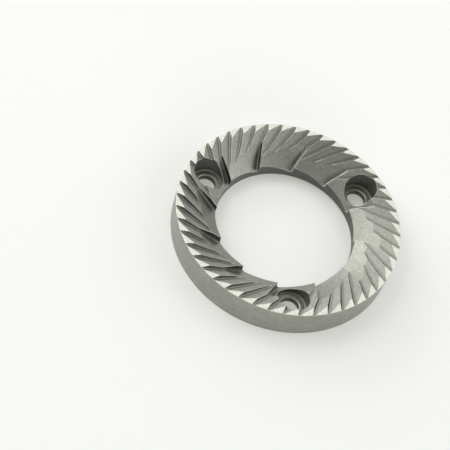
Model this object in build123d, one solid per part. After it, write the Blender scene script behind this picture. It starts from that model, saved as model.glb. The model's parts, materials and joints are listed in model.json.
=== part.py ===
"""Flat grinding burr of a coffee grinder: one ring of hardened steel.

The ring lies on its back with the teeth up. Z is the turning axis, the origin is the centre of the
seat on the back, and the first screw hole lies on +X. Lengths are millimetres, angles are degrees.
"""
import os
from math import cos, radians, sin, sqrt, tan

from build123d import *

# Ring
OUTER_DIAMETER = 64.0
BORE_DIAMETER = 40.0
HEIGHT = 9.6
EDGE_BREAK = 0.2

# Relief turned into the back, which leaves a seat lip along the rim
RELIEF_DEPTH = 1.5
LIP_WIDTH = 2.5

# Screw holes, with seats for the heads sunk into the toothed side; the inset is measured from the
# middle of the ring's width towards the bore
SCREW_COUNT = 3
SCREW_INSET = 0.35
SCREW_HOLE = 5.4
SCREW_HEAD = 9.0
SEAT_WEB = 1.9
SEAT_CORNER = 0.35
HOLE_BREAK = 0.25

# Breaker steps round the bore: an upright wall and a hollow-ground face that climbs to the next wall
STEP_COUNT = 12
STEP_CLOCKING = 8.1
STEP_LEAD = 12.0
STEP_SLANT = 24.0
STEP_WEB = 1.5
STEP_CLIMB = 33.0
STEP_HOLLOW = 44.0
STEP_FILLET = 0.6

# Fine grooves: skewed vees with a narrow flat root that falls from the rim towards the bore; the reach
# of the long side is counted in grooves
GROOVES_PER_STEP = 4
GROOVE_SLANT = 30.0
GROOVE_FALL = 11.6
GROOVE_WALL = 44.0
GROOVE_RAMP = 24.0
GROOVE_REACH = 1.25
GROOVE_RIM_DEPTH = 0.1
GROOVE_ROOT = 0.2

# Sizes that follow from the ones above
outer_r = OUTER_DIAMETER / 2
bore_r = BORE_DIAMETER / 2
relief_r = outer_r - LIP_WIDTH
screw_circle_r = (outer_r + bore_r) / 2 - SCREW_INSET
seat_floor = RELIEF_DEPTH + SEAT_WEB
groove_count = STEP_COUNT * GROOVES_PER_STEP
groove_pitch = 360 / groove_count
cutter_top = 2 * HEIGHT


def around(cutter: Part, count: int, start: float = 0) -> list[Part]:
    """Copies of a cutter spread evenly round the turning axis from a start angle."""
    return [Rot(0, 0, start + 360 * k / count) * cutter for k in range(count)]


def ring_blank() -> Part:
    """Turned blank: straight rim, straight bore and the relief in the back."""
    upright = (Align.CENTER, Align.CENTER, Align.MIN)
    blank = Cylinder(outer_r, HEIGHT, align=upright)
    blank = chamfer(blank.edges().sort_by(Axis.Z)[0], EDGE_BREAK)
    return blank - Cylinder(bore_r, HEIGHT, align=upright) - Cylinder(relief_r, RELIEF_DEPTH, align=upright)


def screw_cutter() -> Part:
    """Cutter for the screw hole on +X: through hole, broken edge and head seat with a broken corner."""
    hole_r = SCREW_HOLE / 2
    head_r = SCREW_HEAD / 2
    with BuildPart() as cutter:
        with BuildSketch(Plane.XZ):
            with BuildLine():
                Polyline(
                    (0, 0),
                    (hole_r, 0),
                    (hole_r, seat_floor - HOLE_BREAK),
                    (hole_r + HOLE_BREAK, seat_floor),
                    (head_r - SEAT_CORNER, seat_floor),
                    (head_r, seat_floor + SEAT_CORNER),
                    (head_r, cutter_top),
                    (0, cutter_top),
                    close=True,
                )
            make_face()
        revolve(axis=Axis.Z)
    return Pos(screw_circle_r, 0, 0) * cutter.part


def breaker_cutter() -> Part:
    """Cutter for the breaker step whose own groove starts on +X.

    The hollow face is the underside of a wheel whose axis passes over the turning axis, and it climbs
    until it meets the next step. The wall stands upright.
    """
    wall_offset = bore_r * sin(radians(STEP_SLANT))
    wall_at_bore = bore_r * cos(radians(STEP_SLANT))
    climb = radians(STEP_CLIMB)
    foot_z = RELIEF_DEPTH + STEP_WEB
    wheel_z = foot_z + sqrt(STEP_HOLLOW**2 - wall_at_bore**2) / cos(climb)
    wheel = Plane(origin=(0, wall_offset, wheel_z), x_dir=(1, 0, 0), z_dir=(0, cos(climb), sin(climb)))
    wall = Plane(origin=(0, wall_offset, 0), x_dir=(1, 0, 0), z_dir=(0, 1, 0))
    with BuildPart() as cutter:
        with BuildSketch(wheel):
            Circle(STEP_HOLLOW)
        extrude(amount=STEP_HOLLOW, both=True)
        split(bisect_by=wall, keep=Keep.TOP)
        split(bisect_by=Plane.XY.offset(cutter_top), keep=Keep.BOTTOM)
        split(bisect_by=Plane.YZ.offset(wall_at_bore / 2), keep=Keep.TOP)
        fillet(cutter.edges().filter_by(GeomType.ELLIPSE).sort_by(Axis.Y)[0], STEP_FILLET)
    return Rot(0, 0, STEP_LEAD - STEP_SLANT) * cutter.part


def groove_cutter() -> Part:
    """Cutter for the fine groove that starts on +X: a steep side, a long ramp and a flat root between."""
    slant = radians(GROOVE_SLANT)
    fall = radians(GROOVE_FALL)
    inward = Vector(-cos(slant), sin(slant), 0)
    run = inward * cos(fall) - Vector(0, 0, sin(fall))
    nearest = outer_r * cos(slant)
    beyond_bore = sqrt(max(bore_r**2 - (outer_r * sin(slant)) ** 2, 0))
    length = (nearest - beyond_bore) / cos(fall)
    lead_in = HEIGHT / 4
    ramp_width = GROOVE_REACH * outer_r * radians(groove_pitch)
    tip = Vector(outer_r, 0, HEIGHT - GROOVE_RIM_DEPTH)
    section = Plane(origin=tip - run * lead_in, x_dir=(sin(slant), cos(slant), 0), z_dir=-inward)
    with BuildPart() as cutter:
        with BuildSketch(section):
            with BuildLine():
                Polyline(
                    (0, 0),
                    (GROOVE_ROOT, 0),
                    (GROOVE_ROOT + ramp_width, ramp_width * tan(radians(GROOVE_RAMP))),
                    (GROOVE_ROOT + ramp_width, HEIGHT),
                    (-HEIGHT / tan(radians(GROOVE_WALL)), HEIGHT),
                    close=True,
                )
            make_face()
        extrude(amount=length + lead_in, dir=run)
    return cutter.part


def burr() -> Part:
    """The finished ring: blank, breaker steps, fine grooves and screw holes, in the order of making."""
    body = ring_blank()
    body -= around(breaker_cutter(), STEP_COUNT, STEP_CLOCKING)
    body -= around(groove_cutter(), groove_count, STEP_CLOCKING)
    body -= around(screw_cutter(), SCREW_COUNT)
    return body


if __name__ == "__main__":
    os.makedirs("parts", exist_ok=True)
    export_step(burr(), "parts/burr.step")
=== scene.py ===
"""Looks of a flat coffee grinder burr: ground and milled steel on a pale studio floor.

The solid ring is the frame's own node. This script gives it its finishes, the floor, the light and the
camera. Lengths are metres in the ring's frame: Z is the turning axis and the back rests on Z = 0.
"""

import json
import logging
import math
from dataclasses import dataclass
from enum import Enum

import bpy
import numpy as np
from mathutils import Matrix, Vector


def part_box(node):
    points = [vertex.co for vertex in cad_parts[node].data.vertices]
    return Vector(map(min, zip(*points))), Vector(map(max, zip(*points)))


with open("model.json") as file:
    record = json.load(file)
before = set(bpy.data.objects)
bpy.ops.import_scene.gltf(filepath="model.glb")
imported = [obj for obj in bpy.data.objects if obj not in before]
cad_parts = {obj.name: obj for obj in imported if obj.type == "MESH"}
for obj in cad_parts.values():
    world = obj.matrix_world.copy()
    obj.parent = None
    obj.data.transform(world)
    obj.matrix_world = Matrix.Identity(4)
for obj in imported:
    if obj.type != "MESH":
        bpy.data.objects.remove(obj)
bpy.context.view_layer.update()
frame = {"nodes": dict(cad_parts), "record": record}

MM = 0.001
MICRON = 0.001 * MM
LOG = logging.getLogger("burr")
Point = tuple[float, float, float]
Colour = tuple[float, float, float]
Socket = bpy.types.NodeSocket
Feed = Socket | float
Mix = Socket | Colour


class Kind(Enum):
    """Kinds of socket on a node group."""

    VALUE = "NodeSocketFloat"
    VECTOR = "NodeSocketVector"


class Region(Enum):
    """Parts of the ring that take different finishes, painted shade or a painted highlight; a later one
    lies over the earlier ones.
    """

    TOOTH = "Tooth"
    FOOT = "Foot"
    ROOT = "Root"
    FLANK = "Flank"
    WALL = "Wall"
    SEAT = "Seat"
    BREAK = "Break"
    POCKET = "Pocket"
    BACK = "Back"
    RIM = "Rim"
    BORE = "Bore"
    LAND = "Land"

    @classmethod
    def overlays(cls) -> list["Region"]:
        """Every region but the teeth, which lie under all the others."""
        return [region for region in cls if region is not cls.TOOTH]


@dataclass(frozen=True)
class Band:
    """A span over which a mask turns on.

    Args:
        off: where the mask is 0.
        on: where it is 1, above or below the other end.
    """

    off: float
    on: float

    def past(self, place: float) -> "Band":
        """The same span, counted from a place."""
        return Band(self.off + place, self.on + place)


# Masks of marks, on noise, on the cosine of an edge's bend and on the share of open room
SPECK = Band(0.55, 1.0)
SCRATCH = Band(0.95, 1.25)
# The next two masks find the rounded, open edges that take wear and a painted highlight.
BENT = Band(0.992, 0.95)
OPEN = Band(0.66, 0.90)
# The next mask finds the sunk corners that painted shade darkens.
CORNER_SHADE = Band(0.94, 0.56)

# Masks of facing, on the upward part of the normal and on its part along the way round the axis
LYING = Band(0.3, 0.6)
STANDING = Band(0.45, 0.25)
ROOT_FACING = Band(-0.10, 0.0)
FLANK_FACING = Band(0.35, 0.50)

# Masks of place, on the distance from the face or line that each one finds
AT_HEAD = Band(0.04 * MM, 0.01 * MM)
# The next mask sets the painted highlight on the chamfer round each screw hole.
AT_BREAK_HIGHLIGHT = Band(0.28 * MM, 0.22 * MM)
AT_BACK = Band(0.03 * MM, 0.01 * MM)
AT_RIM = Band(-0.05 * MM, -0.03 * MM)
AT_BORE = Band(0.05 * MM, 0.03 * MM)
AT_LAND = Band(-0.03 * MM, -0.01 * MM)
ON_GROOVE = Band(0.07 * MM, 0.04 * MM)
ON_ROOT = Band(0.33 * MM, 0.27 * MM)
# The next mask sets the painted shade on the foot of each groove's long side.
ON_FOOT_SHADE = Band(1.0 * MM, 0.25 * MM)

# Noise: its mean, and the gain that spreads it from about -1 to 1
NOISE_MEAN = 0.5
NOISE_GAIN = 4.0

# Marks: how far tool lines fade, which ways scratches run and how dark they are next to specks, how much
# rougher the grain and how much smoother the worn edges are
LINE_FADE = 0.9
SCRATCH_TURNS = (20.0, 75.0, 140.0)
SCRATCH_SHARE = 0.8
GRAIN_ROUGH = 0.03
WORN_POLISH = 0.08
EDGE_SAMPLES = 8


@dataclass(frozen=True)
class SteelFinish:
    """How one region of the steel looks.

    Args:
        colour: reflected colour of the clean metal.
        roughness: mean roughness.
        patches: share by which the tone wanders in soft patches.
        grain: share by which it wanders in fine grain.
        specks: share by which small stains darken it.
        lines: share by which the tool lines change it.
        depth: depth of the tool lines in thousandths of a millimetre.
        spacing: mean distance between tool lines.
        wear_and_highlight: share of the light worn colour that its edges take on, a painted highlight as
            well as wear.
        corner_shade: share by which painted shade darkens its sunk corners.
        bare: share of bare metal; the rest is dull and not metallic.
    """

    colour: Colour
    roughness: float
    patches: float
    grain: float
    specks: float
    lines: float
    depth: float
    spacing: float
    wear_and_highlight: float
    corner_shade: float
    bare: float = 1.0

    def layers(self) -> tuple[Colour, Colour, Colour, Colour]:
        """Its values in threes, for four mixes: colour, uneven tone, tool work, and edge highlight, corner
        shade and bare metal.
        """
        return (
            self.colour,
            (self.patches, self.grain, self.specks),
            (self.lines, self.depth, self.roughness),
            (self.wear_and_highlight, self.corner_shade, self.bare),
        )


FINISHES: dict[Region, SteelFinish] = {
    Region.TOOTH: SteelFinish(
        colour=(0.314, 0.321, 0.285), roughness=0.46, patches=0.09, grain=0.22, specks=0.30,
        lines=0.10, depth=4.0, spacing=0.30 * MM, wear_and_highlight=0.9, corner_shade=0.4,
    ),
    # Painted shade: the darker foot of each groove's long side stands for the shade next to the wall.
    Region.FOOT: SteelFinish(
        colour=(0.200, 0.204, 0.181), roughness=0.46, patches=0.09, grain=0.22, specks=0.20,
        lines=0.15, depth=4.0, spacing=0.30 * MM, wear_and_highlight=0.9, corner_shade=0.4,
    ),
    Region.ROOT: SteelFinish(
        colour=(0.270, 0.272, 0.240), roughness=0.40, patches=0.10, grain=0.10, specks=0.10,
        lines=0.20, depth=2.0, spacing=0.25 * MM, wear_and_highlight=0.3, corner_shade=0.2,
    ),
    # The dark tone of the grooves' steep sides is partly their own cut finish and partly painted shade.
    Region.FLANK: SteelFinish(
        colour=(0.116, 0.119, 0.103), roughness=0.44, patches=0.13, grain=0.12, specks=0.20,
        lines=0.20, depth=4.0, spacing=0.25 * MM, wear_and_highlight=0.7, corner_shade=0.5,
    ),
    # The dark tone of the upright walls is partly their own cut finish and partly painted shade.
    Region.WALL: SteelFinish(
        colour=(0.100, 0.102, 0.090), roughness=0.48, patches=0.15, grain=0.12, specks=0.10,
        lines=0.40, depth=5.0, spacing=0.55 * MM, wear_and_highlight=0.5, corner_shade=0.7,
    ),
    Region.SEAT: SteelFinish(
        colour=(0.340, 0.336, 0.284), roughness=0.62, patches=0.10, grain=0.06, specks=0.10,
        lines=0.20, depth=5.0, spacing=0.40 * MM, wear_and_highlight=0.1, corner_shade=0.6,
    ),
    # Painted highlight: the light ring on the chamfer round each screw hole.
    Region.BREAK: SteelFinish(
        colour=(0.620, 0.616, 0.540), roughness=0.50, patches=0.05, grain=0.05, specks=0.00,
        lines=0.05, depth=1.0, spacing=0.40 * MM, wear_and_highlight=0.1, corner_shade=0.0,
    ),
    # The pocket walls round the screw heads are dark and dull, partly as painted shade in the recess.
    Region.POCKET: SteelFinish(
        colour=(0.112, 0.114, 0.100), roughness=0.46, patches=0.12, grain=0.08, specks=0.10,
        lines=0.12, depth=3.0, spacing=0.40 * MM, wear_and_highlight=0.4, corner_shade=0.6, bare=0.2,
    ),
    Region.BACK: SteelFinish(
        colour=(0.340, 0.345, 0.310), roughness=0.36, patches=0.08, grain=0.05, specks=0.10,
        lines=0.14, depth=3.0, spacing=0.35 * MM, wear_and_highlight=0.6, corner_shade=0.6,
    ),
    Region.RIM: SteelFinish(
        colour=(0.340, 0.348, 0.311), roughness=0.38, patches=0.10, grain=0.17, specks=0.16,
        lines=0.22, depth=3.0, spacing=0.50 * MM, wear_and_highlight=0.9, corner_shade=0.7,
    ),
    # The bore is dark and dull, partly as painted shade inside it.
    Region.BORE: SteelFinish(
        colour=(0.086, 0.088, 0.078), roughness=0.42, patches=0.18, grain=0.20, specks=0.10,
        lines=0.16, depth=3.0, spacing=0.60 * MM, wear_and_highlight=0.6, corner_shade=0.6, bare=0.2,
    ),
    Region.LAND: SteelFinish(
        colour=(0.670, 0.670, 0.594), roughness=0.29, patches=0.05, grain=0.17, specks=0.14,
        lines=0.04, depth=1.0, spacing=0.25 * MM, wear_and_highlight=0.5, corner_shade=0.7,
    ),
}


class NodeGraph:
    """A node tree with short calls for the nodes that the finishes use."""

    def __init__(self, tree: bpy.types.NodeTree) -> None:
        """Keeps the tree and clears it."""
        self.tree = tree
        tree.nodes.clear()

    @classmethod
    def group(cls, name: str, inputs: dict[str, Kind], outputs: dict[str, Kind]) -> "NodeGraph":
        """Starts a shader node group.

        Args:
            name: the group's name.
            inputs: names and kinds of what goes in.
            outputs: names and kinds of what comes out.

        Returns:
            The graph of the new group.
        """
        tree = bpy.data.node_groups.new(name, "ShaderNodeTree")
        for side, sockets in (("INPUT", inputs), ("OUTPUT", outputs)):
            for label, kind in sockets.items():
                tree.interface.new_socket(label, in_out=side, socket_type=kind.value)
        return cls(tree)

    def node(self, kind: str, **settings: object) -> bpy.types.Node:
        """Adds a node.

        Args:
            kind: the node's type, such as ShaderNodeMath.
            settings: properties to set on it.

        Returns:
            The new node.
        """
        made = self.tree.nodes.new(kind)
        for name, value in settings.items():
            setattr(made, name, value)
        return made

    def place(self, group: "NodeGraph", **feeds: Feed) -> bpy.types.Node:
        """Adds a group to this graph.

        Args:
            group: the group's own graph.
            feeds: what goes into its inputs, by name.

        Returns:
            The group's node.
        """
        made = self.node("ShaderNodeGroup", node_tree=group.tree)
        for name, value in feeds.items():
            self.feed(made.inputs[name], value)
        return made

    def feed(self, socket: Socket, value: Feed | Colour) -> None:
        """Links a socket to another, or sets its own value."""
        if isinstance(value, bpy.types.NodeSocket):
            self.tree.links.new(value, socket)
        else:
            socket.default_value = value

    def math(self, operation: str, *values: Feed, clamp: bool = False) -> Socket:
        """One arithmetic step.

        Args:
            operation: the Math node's operation.
            values: numbers or sockets, in order.
            clamp: whether the result is kept from 0 to 1.

        Returns:
            The result's socket.
        """
        made = self.node("ShaderNodeMath", operation=operation, use_clamp=clamp)
        for socket, value in zip(made.inputs, values):
            self.feed(socket, value)
        return made.outputs["Value"]

    def total(self, *values: Feed) -> Socket:
        """Adds up numbers and sockets and returns the sum's socket."""
        result = values[0]
        for value in values[1:]:
            result = self.math("ADD", result, value)
        return result

    def product(self, *values: Feed) -> Socket:
        """Multiplies numbers and sockets and returns the product's socket."""
        result = values[0]
        for value in values[1:]:
            result = self.math("MULTIPLY", result, value)
        return result

    def length(self, x: Feed, y: Feed) -> Socket:
        """Length of a flat vector from its two parts."""
        return self.math("SQRT", self.math("ADD", self.product(x, x), self.product(y, y)))

    def dot(self, first: Socket, second: Socket | Point) -> Socket:
        """Dot product of two vectors."""
        made = self.node("ShaderNodeVectorMath", operation="DOT_PRODUCT")
        for socket, value in zip(made.inputs, (first, second)):
            self.feed(socket, value)
        return made.outputs["Value"]

    def split(self, vector: Socket) -> tuple[Socket, Socket, Socket]:
        """Parts of a vector or colour along its three axes."""
        made = self.node("ShaderNodeSeparateXYZ")
        self.feed(made.inputs["Vector"], vector)
        return made.outputs["X"], made.outputs["Y"], made.outputs["Z"]

    def join(self, x: Feed, y: Feed, z: Feed) -> Socket:
        """Vector from its three parts."""
        made = self.node("ShaderNodeCombineXYZ")
        for socket, value in zip(made.inputs, (x, y, z)):
            self.feed(socket, value)
        return made.outputs["Vector"]

    def scaled(self, vector: Socket, factor: float) -> Socket:
        """A vector times a number."""
        made = self.node("ShaderNodeVectorMath", operation="SCALE")
        self.feed(made.inputs["Vector"], vector)
        made.inputs["Scale"].default_value = factor
        return made.outputs["Vector"]

    def ramp(self, value: Feed, band: Band) -> Socket:
        """A smooth mask.

        Args:
            value: what is measured.
            band: the span over which the mask turns on.

        Returns:
            The mask's socket.
        """
        made = self.node("ShaderNodeMapRange", interpolation_type="SMOOTHSTEP")
        falls = band.off > band.on
        ends = (band.on, band.off, 1.0, 0.0) if falls else (band.off, band.on, 0.0, 1.0)
        for socket, part in zip(made.inputs, (value, *ends)):
            self.feed(socket, part)
        return made.outputs["Result"]

    def blend(self, share: Feed, first: Mix, second: Mix) -> Socket:
        """Mixes two colours by a share from 0 to 1 and returns the result's socket."""
        made = self.node("ShaderNodeMix", data_type="RGBA")
        self.feed(made.inputs["Factor"], share)
        for name, value in (("A", first), ("B", second)):
            socket = next(s for s in made.inputs if s.name == name and s.type == "RGBA")
            self.feed(socket, value if isinstance(value, bpy.types.NodeSocket) else (*value, 1.0))
        return next(s for s in made.outputs if s.type == "RGBA")

    def noise(self, place: Socket, scale: Feed, detail: float = 2.0, rough: float = 0.5) -> Socket:
        """Cloudy noise from about -1 to 1.

        Args:
            place: coordinates in metres.
            scale: clouds to the metre.
            detail: octaves of finer clouds.
            rough: weight of the finer clouds.

        Returns:
            The noise value's socket.
        """
        made = self.node("ShaderNodeTexNoise")
        for name, value in (("Vector", place), ("Scale", scale), ("Detail", detail), ("Roughness", rough)):
            self.feed(made.inputs[name], value)
        value = next(s for s in made.outputs if s.type == "VALUE")
        return self.math("MULTIPLY", self.math("SUBTRACT", value, NOISE_MEAN), NOISE_GAIN)


class SteelEffects:
    """Node groups for the marks that the finishes share."""

    @staticmethod
    def clouds(patch: float, grain: float) -> NodeGraph:
        """Uneven tone of worked steel.

        Args:
            patch: size of the soft patches.
            grain: size of the fine grain; the specks are twice as large.

        Returns:
            A group with a Place input and the outputs Patches and Grain from about -1 to 1 and Specks
            from 0 to 1.
        """
        names = ("Patches", "Grain", "Specks")
        graph = NodeGraph.group("SteelClouds", {"Place": Kind.VECTOR}, {n: Kind.VALUE for n in names})
        place = graph.node("NodeGroupInput").outputs["Place"]
        out = graph.node("NodeGroupOutput")
        graph.feed(out.inputs["Patches"], graph.noise(place, 1 / patch, detail=4.0, rough=0.6))
        graph.feed(out.inputs["Grain"], graph.noise(place, 1 / grain, detail=2.0, rough=0.6))
        graph.feed(out.inputs["Specks"], graph.ramp(graph.noise(place, 0.5 / grain, detail=1.0), SPECK))
        return graph

    @staticmethod
    def tool_lines(run: float) -> NodeGraph:
        """Fine lines that a tool leaves along its path.

        The lines are noise on a track vector, which changes across the lines and stays the same along
        them. A second noise on the place lets them come and go.

        Args:
            run: length over which a line fades.

        Returns:
            A group with a Place input, a Track input that grows by one from line to line, and the
            output Lines from about -1 to 1.
        """
        graph = NodeGraph.group(
            "ToolLines", {"Place": Kind.VECTOR, "Track": Kind.VECTOR}, {"Lines": Kind.VALUE}
        )
        source = graph.node("NodeGroupInput")
        lines = graph.noise(source.outputs["Track"], 1.0, detail=3.0, rough=0.6)
        fading = graph.product(graph.noise(source.outputs["Place"], 1 / run), LINE_FADE)
        strength = graph.total(fading, LINE_FADE)
        graph.feed(graph.node("NodeGroupOutput").inputs["Lines"], graph.product(lines, strength))
        return graph

    @staticmethod
    def scratches(length: float, width: float) -> NodeGraph:
        """Sparse short scratches that cross each other in plan, on faces that do not stand upright.

        Args:
            length: about how long a scratch is.
            width: about how wide it is.

        Returns:
            A group with Place and Facing inputs and the output Scratches from 0 to 1.
        """
        graph = NodeGraph.group(
            "Scratches", {"Place": Kind.VECTOR, "Facing": Kind.VECTOR}, {"Scratches": Kind.VALUE}
        )
        source = graph.node("NodeGroupInput")
        x, y, z = graph.split(source.outputs["Place"])
        flat = graph.ramp(graph.math("ABSOLUTE", graph.split(source.outputs["Facing"])[2]), LYING)
        rise = graph.product(z, 1 / length)
        marks: list[Socket] = []
        for turn in SCRATCH_TURNS:
            c, s = math.cos(math.radians(turn)), math.sin(math.radians(turn))
            along = graph.total(graph.product(x, c / length), graph.product(y, s / length))
            across = graph.total(graph.product(x, -s / width), graph.product(y, c / width))
            own_level = graph.total(rise, turn)
            noise = graph.noise(graph.join(along, across, own_level), 1.0, detail=0.0)
            marks.append(graph.ramp(noise, SCRATCH))
        marked = graph.product(graph.total(*marks), flat)
        graph.feed(graph.node("NodeGroupOutput").inputs["Scratches"], marked)
        return graph

    @staticmethod
    def edge_wear_and_shade() -> NodeGraph:
        """Worn edges with a painted highlight, and painted shade in sunk corners.

        Returns:
            A group with the inputs Turn, the cosine between a face and its rounded normal, and Open,
            the share of open room round a place, and the outputs Wear and Grime from 0 to 1.
        """
        graph = NodeGraph.group(
            "EdgeWear", {"Turn": Kind.VALUE, "Open": Kind.VALUE}, {"Wear": Kind.VALUE, "Grime": Kind.VALUE}
        )
        source = graph.node("NodeGroupInput")
        out = graph.node("NodeGroupOutput")
        bent = graph.ramp(source.outputs["Turn"], BENT)
        graph.feed(out.inputs["Wear"], graph.product(bent, graph.ramp(source.outputs["Open"], OPEN)))
        graph.feed(out.inputs["Grime"], graph.ramp(source.outputs["Open"], CORNER_SHADE))
        return graph


@dataclass(frozen=True)
class Spot:
    """Sockets that tell where a place on the ring lies.

    Args:
        x: the place along X.
        y: the place along Y.
        z: its height above the seat on the back.
        radius: its distance from the turning axis.
        screw: its distance in plan from the axis of the nearest screw.
        touch_x: where the groove line through it touches the grooves' circle, along X.
        touch_y: the same along Y.
        reach: its distance from that point of touch.
    """

    x: Socket
    y: Socket
    z: Socket
    radius: Socket
    screw: Socket
    touch_x: Socket
    touch_y: Socket
    reach: Socket


@dataclass
class Burr:
    """The one-piece burr ring: its sizes and its finishes.

    Args:
        node: the frame's node.
        outer_r: radius of the rim.
        bore_r: radius of the bore.
        height: height from the back to the lands.
        screw_circle_r: radius of the screw circle.
        screw_count: number of screw holes.
        hole_r: radius of the screw holes.
        head_r: radius of the seats for the screw heads.
        relief: depth of the relief in the back.
        groove_count: number of fine grooves.
        groove_start: angle at which one of them leaves the rim, in degrees from +X.
        groove_lean: angle between a fine groove and the radius at the rim, in degrees.
        groove_fall: slope of its root towards the bore, in degrees.
        groove_ramp: slope of its long side, in degrees.
        groove_depth: depth of its root at the rim.
        groove_root: width of its flat root.
        patch: size of the soft patches of tone.
        grain: size of the fine grain.
        line_run: length over which a tool line fades.
        scratch_length: length of the scratches.
        scratch_width: width of the scratches.
        edge: radius of the rounded edges, which take wear and a painted highlight.
        edge_highlight_colour: light colour of the worn edges, a painted highlight as well as wear.
        corner: reach of the painted shade in sunk corners.
    """

    node: str
    outer_r: float
    bore_r: float
    height: float
    screw_circle_r: float
    screw_count: int
    hole_r: float
    head_r: float = 4.5 * MM
    relief: float = 1.5 * MM
    groove_count: int = 48
    groove_start: float = 8.1
    groove_lean: float = 30.0
    groove_fall: float = 11.6
    groove_ramp: float = 24.0
    groove_depth: float = 0.1 * MM
    groove_root: float = 0.2 * MM
    patch: float = 2.2 * MM
    grain: float = 0.35 * MM
    line_run: float = 1.8 * MM
    scratch_length: float = 1.6 * MM
    scratch_width: float = 0.16 * MM
    edge: float = 0.16 * MM
    edge_highlight_colour: Colour = (0.90, 0.90, 0.80)
    corner: float = 0.34 * MM

    @classmethod
    def from_frame(cls) -> "Burr":
        """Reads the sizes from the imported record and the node's box."""
        mounts = {m["name"]: m["dims"] for m in frame["record"]["mounts"]}
        low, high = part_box("burr")
        return cls(
            node="burr",
            outer_r=(high.x - low.x) / 2,
            bore_r=mounts["bore"]["r_mm"] * MM,
            height=high.z,
            screw_circle_r=mounts["screws"]["pcd_mm"] / 2 * MM,
            screw_count=mounts["screws"]["count"],
            hole_r=mounts["screws"]["hole_r_mm"] * MM,
        )

    def groove_circle(self) -> float:
        """Radius of the circle round the axis that the line of every fine groove touches."""
        return self.outer_r * math.sin(math.radians(self.groove_lean))

    def screw_distance(self, graph: NodeGraph, x: Socket, y: Socket) -> Socket:
        """Distance in plan from the axis of the nearest screw.

        Args:
            graph: graph that gets the nodes.
            x: the place along X.
            y: the place along Y.

        Returns:
            The distance's socket.
        """
        nearest: Feed = 2 * self.outer_r
        for k in range(self.screw_count):
            angle = 2 * math.pi * k / self.screw_count
            dx = graph.math("SUBTRACT", x, self.screw_circle_r * math.cos(angle))
            dy = graph.math("SUBTRACT", y, self.screw_circle_r * math.sin(angle))
            nearest = graph.math("MINIMUM", nearest, graph.length(dx, dy))
        return nearest

    def groove_track(
        self, graph: NodeGraph, x: Socket, y: Socket, radius: Socket
    ) -> tuple[Socket, Socket, Socket]:
        """Finds the line along the fine grooves that passes through a place.

        Every groove lies on a line that touches one circle round the axis. The point of touch stays the
        same along a groove: with q the circle's radius and r the place's own, it is the place times
        q² / r², plus the place turned by a right angle times q sqrt(r² - q²) / r².

        Args:
            graph: graph that gets the nodes.
            x: the place along X.
            y: the place along Y.
            radius: its distance from the axis.

        Returns:
            The point of touch along X and Y, and the distance from it to the place.
        """
        touch = self.groove_circle()
        square = graph.product(radius, radius)
        along = graph.math("DIVIDE", touch * touch, square)
        reach = graph.math("SQRT", graph.math("SUBTRACT", square, touch * touch))
        aside = graph.math("DIVIDE", graph.product(reach, touch), square)
        touch_x = graph.math("SUBTRACT", graph.product(x, along), graph.product(y, aside))
        touch_y = graph.math("ADD", graph.product(y, along), graph.product(x, aside))
        return touch_x, touch_y, reach

    def spot(self, graph: NodeGraph, place: Socket) -> Spot:
        """Measures where a place on the ring lies.

        Args:
            graph: graph that gets the nodes.
            place: coordinates in the ring's frame.

        Returns:
            The sockets of what was measured.
        """
        x, y, z = graph.split(place)
        radius = graph.length(x, y)
        screw = self.screw_distance(graph, x, y)
        return Spot(x, y, z, radius, screw, *self.groove_track(graph, x, y, radius))

    def groove_foot(self, graph: NodeGraph, spot: Spot) -> tuple[Socket, Socket]:
        """Finds the foot of the long side of the fine grooves.

        Args:
            graph: graph that gets the nodes.
            spot: the place.

        Returns:
            The distance across from the groove's root line, and a mask of the places that lie on the
            groove's own surface.
        """
        lean = math.radians(self.groove_lean)
        touch = self.groove_circle()
        fall = math.tan(math.radians(self.groove_fall))
        climb = math.tan(math.radians(self.groove_ramp))
        pitch = 2 * math.pi / self.groove_count
        first = math.radians(self.groove_start) + math.pi / 2 - lean
        turn = graph.math("SUBTRACT", graph.math("ARCTAN2", spot.touch_y, spot.touch_x), first)
        turn = graph.product(graph.math("FRACT", graph.product(turn, 1 / pitch)), pitch)
        sine = graph.math("SINE", turn)
        cosine = graph.math("COSINE", turn)
        across = graph.total(graph.product(spot.reach, sine), graph.product(cosine, touch), -touch)
        along = graph.math("SUBTRACT", graph.product(spot.reach, cosine), graph.product(sine, touch))
        root_at_touch = self.height - self.groove_depth - fall * self.outer_r * math.cos(lean)
        rise = graph.math("MAXIMUM", graph.total(across, -self.groove_root), 0.0)
        surface = graph.total(graph.product(along, fall), graph.product(rise, climb), root_at_touch)
        off = graph.math("ABSOLUTE", graph.math("SUBTRACT", spot.z, surface))
        return across, graph.ramp(off, ON_GROOVE)

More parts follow.
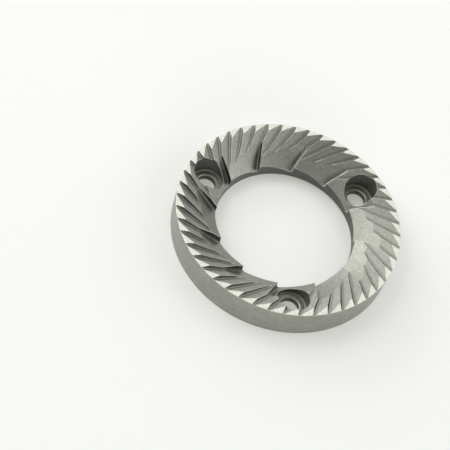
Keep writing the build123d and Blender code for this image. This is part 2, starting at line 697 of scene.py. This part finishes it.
    def masks(self, graph: NodeGraph, spot: Spot, facing: Socket) -> dict[Region, Socket]:
        """Finds the regions that lie over the teeth.

        Args:
            graph: graph that gets the nodes.
            spot: the place.
            facing: the face's normal there.

        Returns:
            A mask from 0 to 1 for each region but the teeth.
        """
        nx, ny, nz = graph.split(facing)
        turned = graph.math("SUBTRACT", graph.product(spot.x, ny), graph.product(spot.y, nx))
        ahead = graph.math("DIVIDE", turned, spot.radius)
        upright = graph.ramp(graph.math("ABSOLUTE", nz), STANDING)
        near_screw = graph.ramp(spot.screw, AT_HEAD.past(self.head_r))
        across, in_groove = self.groove_foot(graph, spot)
        at_root = graph.product(in_groove, graph.ramp(across, ON_ROOT))
        return {
            # Painted shade on the foot of each groove's long side.
            Region.FOOT: graph.product(in_groove, graph.ramp(across, ON_FOOT_SHADE)),
            Region.ROOT: graph.math("MAXIMUM", graph.ramp(ahead, ROOT_FACING), at_root),
            # The steep sides and upright walls get a darker tone, partly painted shade.
            Region.FLANK: graph.ramp(ahead, FLANK_FACING),
            Region.WALL: upright,
            Region.SEAT: near_screw,
            # Painted highlight on the chamfer round each screw hole.
            Region.BREAK: graph.ramp(spot.screw, AT_BREAK_HIGHLIGHT.past(self.hole_r)),
            Region.POCKET: graph.product(near_screw, upright),
            Region.BACK: graph.ramp(spot.z, AT_BACK.past(self.relief)),
            Region.RIM: graph.ramp(spot.radius, AT_RIM.past(self.outer_r)),
            Region.BORE: graph.ramp(spot.radius, AT_BORE.past(self.bore_r)),
            Region.LAND: graph.ramp(spot.z, AT_LAND.past(self.height)),
        }

    def paths(self, graph: NodeGraph, spot: Spot) -> dict[Region, Socket]:
        """Vectors that change across each region's tool lines and stay the same along them.

        Args:
            graph: graph that gets the nodes.
            spot: the place.

        Returns:
            A vector in metres for each region.
        """
        groove = graph.join(spot.touch_x, spot.touch_y, 0.0)
        level = graph.join(0.0, 0.0, spot.z)
        round_screw = graph.join(spot.screw, 0.0, 0.0)
        return {
            Region.TOOTH: groove,
            Region.FOOT: groove,
            Region.ROOT: groove,
            Region.FLANK: groove,
            Region.WALL: level,
            Region.SEAT: round_screw,
            Region.BREAK: round_screw,
            Region.POCKET: level,
            Region.BACK: graph.join(spot.radius, 0.0, 0.0),
            Region.RIM: level,
            Region.BORE: level,
            Region.LAND: graph.join(spot.x, 0.0, 0.0),
        }

    def region_group(self) -> NodeGraph:
        """Tells from a place on the ring and its facing which region it lies in.

        Returns:
            A group with Place and Facing inputs, one mask from 0 to 1 for each region but the teeth,
            and the Track vector across the region's tool lines.
        """
        graph = NodeGraph.group(
            "RingRegions",
            {"Place": Kind.VECTOR, "Facing": Kind.VECTOR},
            {**{r.value: Kind.VALUE for r in Region.overlays()}, "Track": Kind.VECTOR},
        )
        source = graph.node("NodeGroupInput")
        out = graph.node("NodeGroupOutput")
        spot = self.spot(graph, source.outputs["Place"])
        paths = self.paths(graph, spot)
        tracks = {r: graph.scaled(path, 1 / FINISHES[r].spacing) for r, path in paths.items()}
        track = tracks[Region.TOOTH]
        for region, mask in self.masks(graph, spot, source.outputs["Facing"]).items():
            graph.feed(out.inputs[region.value], mask)
            track = graph.blend(mask, track, tracks[region])
        graph.feed(out.inputs["Track"], track)
        return graph

    def blended(self, graph: NodeGraph, regions: bpy.types.Node) -> list[Mix]:
        """Lays every region's finish over the finish of the teeth.

        Args:
            graph: the material's graph.
            regions: the node of the region group.

        Returns:
            Four mixes with the finish's values, in the order of SteelFinish.layers.
        """
        mixes: list[Mix] = list(FINISHES[Region.TOOTH].layers())
        for region in Region.overlays():
            mask = regions.outputs[region.value]
            mixes = [graph.blend(mask, mix, layer) for mix, layer in zip(mixes, FINISHES[region].layers())]
        return mixes

    def edges(self, graph: NodeGraph, facing: Socket) -> tuple[Socket, Socket, Socket]:
        """Finds the worn edges, which take a painted highlight, and the sunk corners, which take painted
        shade.

        Args:
            graph: the material's graph.
            facing: the face's normal.

        Returns:
            The normal with rounded edges, and masks of the wear with its painted highlight and of the
            painted corner shade.
        """
        rounded = graph.node("ShaderNodeBevel", samples=EDGE_SAMPLES)
        rounded.inputs["Radius"].default_value = self.edge
        normal = rounded.outputs["Normal"]
        room = graph.node("ShaderNodeAmbientOcclusion", samples=EDGE_SAMPLES, only_local=True)
        room.inputs["Distance"].default_value = self.corner
        found = graph.place(
            SteelEffects.edge_wear_and_shade(), Turn=graph.dot(normal, facing), Open=room.outputs["AO"]
        ).outputs
        return normal, found["Wear"], found["Grime"]

    def steel(self) -> bpy.types.Material:
        """Material that shows every region's finish with its marks.

        Returns:
            The finished material.
        """
        material = bpy.data.materials.new("BurrSteel")
        material.use_nodes = True
        graph = NodeGraph(material.node_tree)
        place = graph.node("ShaderNodeTexCoord").outputs["Object"]
        facing = graph.node("ShaderNodeNewGeometry").outputs["True Normal"]
        regions = graph.place(self.region_group(), Place=place, Facing=facing)
        clouds = graph.place(SteelEffects.clouds(self.patch, self.grain), Place=place).outputs
        lines = graph.place(
            SteelEffects.tool_lines(self.line_run), Place=place, Track=regions.outputs["Track"]
        ).outputs["Lines"]
        scratches = graph.place(
            SteelEffects.scratches(self.scratch_length, self.scratch_width), Place=place, Facing=facing
        ).outputs["Scratches"]
        colour, uneven, worked, edge_corner_and_bare = self.blended(graph, regions)
        patch_share, grain_share, speck_share = graph.split(uneven)
        line_share, line_depth, roughness = graph.split(worked)
        wear_and_highlight_share, corner_shade_share, bare = graph.split(edge_corner_and_bare)
        # Wear with a painted highlight on the rounded edges, and painted shade in the sunk corners.
        normal, wear_and_highlight_mask, corner_shade_mask = self.edges(graph, facing)
        wear_and_highlight = graph.product(wear_and_highlight_mask, wear_and_highlight_share)
        tone = graph.node("ShaderNodeHueSaturation")
        value = graph.total(
            graph.product(clouds["Patches"], patch_share),
            graph.product(clouds["Grain"], grain_share),
            graph.product(lines, line_share),
            graph.product(clouds["Specks"], speck_share, -1.0),
            graph.product(scratches, speck_share, -SCRATCH_SHARE),
            graph.product(corner_shade_mask, corner_shade_share, -1.0),
            1.0,
        )
        graph.feed(tone.inputs["Value"], value)
        graph.feed(tone.inputs["Color"], colour)
        bump = graph.node("ShaderNodeBump")
        bump.inputs["Distance"].default_value = MICRON
        graph.feed(bump.inputs["Height"], graph.total(graph.product(lines, line_depth), clouds["Grain"]))
        graph.feed(bump.inputs["Normal"], normal)
        roughness = graph.total(
            roughness, graph.product(clouds["Grain"], GRAIN_ROUGH), graph.product(wear_and_highlight, -WORN_POLISH)
        )
        shader = graph.node("ShaderNodeBsdfPrincipled")
        # The edges take a light colour: a painted highlight as well as wear.
        graph.feed(shader.inputs["Base Color"], graph.blend(wear_and_highlight, tone.outputs["Color"], self.edge_highlight_colour))
        graph.feed(shader.inputs["Metallic"], bare)
        graph.feed(shader.inputs["Roughness"], roughness)
        graph.feed(shader.inputs["Normal"], bump.outputs["Normal"])
        graph.feed(graph.node("ShaderNodeOutputMaterial").inputs["Surface"], shader.outputs["BSDF"])
        return material

    def dress(self) -> None:
        """Puts the steel on the ring's node."""
        ring = frame["nodes"][self.node]
        ring.data.materials.clear()
        ring.data.materials.append(self.steel())
        LOG.info("%s: rim %.1f mm, %d triangles", self.node, self.outer_r / MM, len(ring.data.polygons))


def heading(azimuth: float, elevation: float) -> Vector:
    """Direction of one metre's length from two angles.

    Args:
        azimuth: turn from +X towards +Y, in degrees.
        elevation: height above the floor, in degrees.

    Returns:
        The direction.
    """
    a, e = math.radians(azimuth), math.radians(elevation)
    return Vector((math.cos(a) * math.cos(e), math.sin(a) * math.cos(e), math.sin(e)))


@dataclass(frozen=True)
class Softbox:
    """One flat studio lamp that faces the ring.

    Args:
        name: the lamp's name.
        azimuth: direction from the ring, in degrees from +X towards +Y.
        elevation: height above the floor, in degrees.
        width: the panel's width.
        height: the panel's height.
        power: the lamp's power in watts.
        distance: distance from the ring.
    """

    name: str
    azimuth: float
    elevation: float
    width: float
    height: float
    power: float
    distance: float = 1.2

    def build(self) -> None:
        """Makes the lamp and turns it to the ring."""
        way = heading(self.azimuth, self.elevation)
        lamp = bpy.data.lights.new(self.name, "AREA")
        lamp.shape = "RECTANGLE"
        lamp.size = self.width
        lamp.size_y = self.height
        lamp.energy = self.power
        holder = bpy.data.objects.new(self.name, lamp)
        holder.location = way * self.distance
        holder.rotation_euler = way.to_track_quat("Z", "Y").to_euler()
        bpy.context.scene.collection.objects.link(holder)
        LOG.info("lamp %s", self.name)


@dataclass
class Studio:
    """The pale floor, the soft lamps and the room's light.

    Args:
        floor_side: side of the square floor.
        floor_lines: grid lines of its mesh each way.
        floor_colour: the floor's own colour.
        glow: share of the floor that shows a plain glow to the camera and in the metal.
        glow_colour: colour of that glow.
        back_azimuth: direction of the white backdrop, in degrees.
        back_level: level part of that direction.
        back_rise: upward part of that direction.
        room: tone of the room on the camera's side.
        backdrop: tone of the backdrop's side.
        room_colour: colour of the room's light.
        fade: span over which the room turns into the backdrop.
        horizon: span, up from the floor's edge, over which metal sees the white background.
        lamps: the soft lamps.
    """

    floor_side: float = 4.0
    floor_lines: int = 9
    floor_colour: Colour = (0.935, 0.925, 0.920)
    glow: float = 0.3
    glow_colour: Colour = (0.955, 1.0, 0.90)
    back_azimuth: float = 300.0
    back_level: float = 0.8
    back_rise: float = 0.6
    room: float = 0.02
    backdrop: float = 0.04
    room_colour: Colour = (1.0, 1.0, 0.98)
    fade: Band = Band(-0.6, 0.9)
    horizon: Band = Band(0.12, 0.02)
    lamps: tuple[Softbox, ...] = (
        Softbox("key", azimuth=6.0, elevation=42.0, width=0.90, height=1.10, power=7.5),
        Softbox("rear", azimuth=333.0, elevation=16.0, width=1.40, height=0.68, power=7.9),
        Softbox("window", azimuth=275.0, elevation=17.0, width=1.10, height=0.68, power=2.3),
        Softbox("side", azimuth=225.0, elevation=20.0, width=0.80, height=0.50, power=2.05),
        Softbox("left", azimuth=203.0, elevation=38.0, width=1.10, height=0.90, power=4.2),
        Softbox("front", azimuth=130.0, elevation=15.0, width=0.80, height=0.50, power=5.4),
        Softbox("top", azimuth=75.0, elevation=66.0, width=1.20, height=0.80, power=2.3),
        Softbox("back", azimuth=280.0, elevation=56.0, width=0.80, height=0.80, power=2.6),
    )

    @staticmethod
    def rays(graph: NodeGraph) -> tuple[Socket, Socket]:
        """Tells apart the rays that show the background.

        Args:
            graph: graph that gets the nodes.

        Returns:
            Masks of the rays from the camera, and of those off gloss or through glass.
        """
        path = graph.node("ShaderNodeLightPath").outputs
        mirrored = graph.math("ADD", path["Is Glossy Ray"], path["Is Transmission Ray"], clamp=True)
        return path["Is Camera Ray"], mirrored

    def pale(self) -> bpy.types.Material:
        """Matte floor material with a share of plain glow, which keeps the ring's shadow."""
        material = bpy.data.materials.new("PaleFloor")
        material.use_nodes = True
        graph = NodeGraph(material.node_tree)
        matte = graph.node("ShaderNodeBsdfDiffuse")
        matte.inputs["Color"].default_value = (*self.floor_colour, 1.0)
        glow = graph.node("ShaderNodeEmission")
        glow.inputs["Color"].default_value = (*self.glow_colour, 1.0)
        seen = graph.math("ADD", *self.rays(graph), clamp=True)
        mix = graph.node("ShaderNodeMixShader")
        graph.feed(mix.inputs[0], graph.product(seen, self.glow))
        graph.feed(mix.inputs[1], matte.outputs[0])
        graph.feed(mix.inputs[2], glow.outputs[0])
        graph.feed(graph.node("ShaderNodeOutputMaterial").inputs["Surface"], mix.outputs[0])
        return material

    def floor(self) -> None:
        """Makes a flat square grid in the pale material."""
        side = np.linspace(-self.floor_side / 2, self.floor_side / 2, self.floor_lines)
        x, y = np.meshgrid(side, side)
        points = np.stack([x, y, np.zeros_like(x)], -1).reshape(-1, 3)
        index = np.arange(points.shape[0]).reshape(side.size, side.size)
        corners = [index[:-1, :-1], index[:-1, 1:], index[1:, 1:], index[1:, :-1]]
        faces = np.stack(corners, -1).reshape(-1, 4)
        mesh = bpy.data.meshes.new("floor")
        mesh.from_pydata(points.tolist(), [], faces.tolist())
        mesh.materials.append(self.pale())
        floor = bpy.data.objects.new("floor", mesh)
        bpy.context.scene.collection.objects.link(floor)
        LOG.info("floor")

    def world(self) -> None:
        """Makes the room's light, which fades from the white backdrop to the darker camera side."""
        world = bpy.data.worlds.new("Room")
        world.use_nodes = True
        bpy.context.scene.world = world
        graph = NodeGraph(world.node_tree)
        direction = graph.node("ShaderNodeTexCoord").outputs["Generated"]
        a = math.radians(self.back_azimuth)
        back = (math.cos(a) * self.back_level, math.sin(a) * self.back_level, self.back_rise)
        share = graph.ramp(graph.dot(direction, back), self.fade)
        level = graph.total(graph.product(share, self.backdrop - self.room), self.room)
        from_camera, mirrored = self.rays(graph)
        at_horizon = graph.ramp(graph.split(direction)[2], self.horizon)
        shown = graph.math("ADD", from_camera, graph.product(mirrored, at_horizon), clamp=True)
        sky = graph.node("ShaderNodeBackground")
        sky.inputs["Color"].default_value = (*self.room_colour, 1.0)
        graph.feed(sky.inputs["Strength"], graph.math("MAXIMUM", level, shown))
        graph.feed(graph.node("ShaderNodeOutputWorld").inputs["Surface"], sky.outputs[0])
        LOG.info("room light")

    def build(self) -> None:
        """Makes the floor, the room's light and the lamps."""
        self.floor()
        self.world()
        for lamp in self.lamps:
            lamp.build()


@dataclass(frozen=True)
class PhotoCamera:
    """The camera at the photograph's viewing angle.

    Args:
        aim: point on the plane of the lands that lies in the middle of the picture.
        azimuth: direction from the aim to the camera, in degrees from +X towards +Y.
        elevation: height of that direction above the floor, in degrees.
        roll: turn of the camera about its own axis, in degrees.
        distance: distance from the aim.
        lens: focal length in millimetres.
        sensor: width of the sensor in millimetres.
        near: distance from which things show.
    """

    aim: Point = (13.364 * MM, 13.980 * MM, 9.6 * MM)
    azimuth: float = 101.98
    elevation: float = 53.92
    roll: float = 20.14
    distance: float = 323.93 * MM
    lens: float = 95.33
    sensor: float = 36.0
    near: float = 1 * MM

    def build(self) -> None:
        """Makes the camera and gives it to the scene."""
        back = heading(self.azimuth, self.elevation)
        roll = math.radians(self.roll)
        level = Vector((0.0, 0.0, 1.0)).cross(back).normalized()
        upright = back.cross(level)
        right = level * math.cos(roll) + upright * math.sin(roll)
        up = back.cross(right)
        data = bpy.data.cameras.new("camera")
        data.lens = self.lens
        data.sensor_width = self.sensor
        data.clip_start = self.near
        camera = bpy.data.objects.new("camera", data)
        turn = Matrix((right, up, back)).transposed().to_4x4()
        camera.matrix_world = Matrix.Translation(Vector(self.aim) + back * self.distance) @ turn
        bpy.context.scene.collection.objects.link(camera)
        bpy.context.scene.camera = camera
        LOG.info("camera")


def main() -> None:
    """Builds the finishes, the studio and the camera in order."""
    logging.basicConfig(level=logging.INFO, format="%(name)s: %(message)s")
    bpy.context.scene.view_settings.view_transform = "Standard"
    Burr.from_frame().dress()
    Studio().build()
    PhotoCamera().build()


if __name__ == "__main__":
    main()
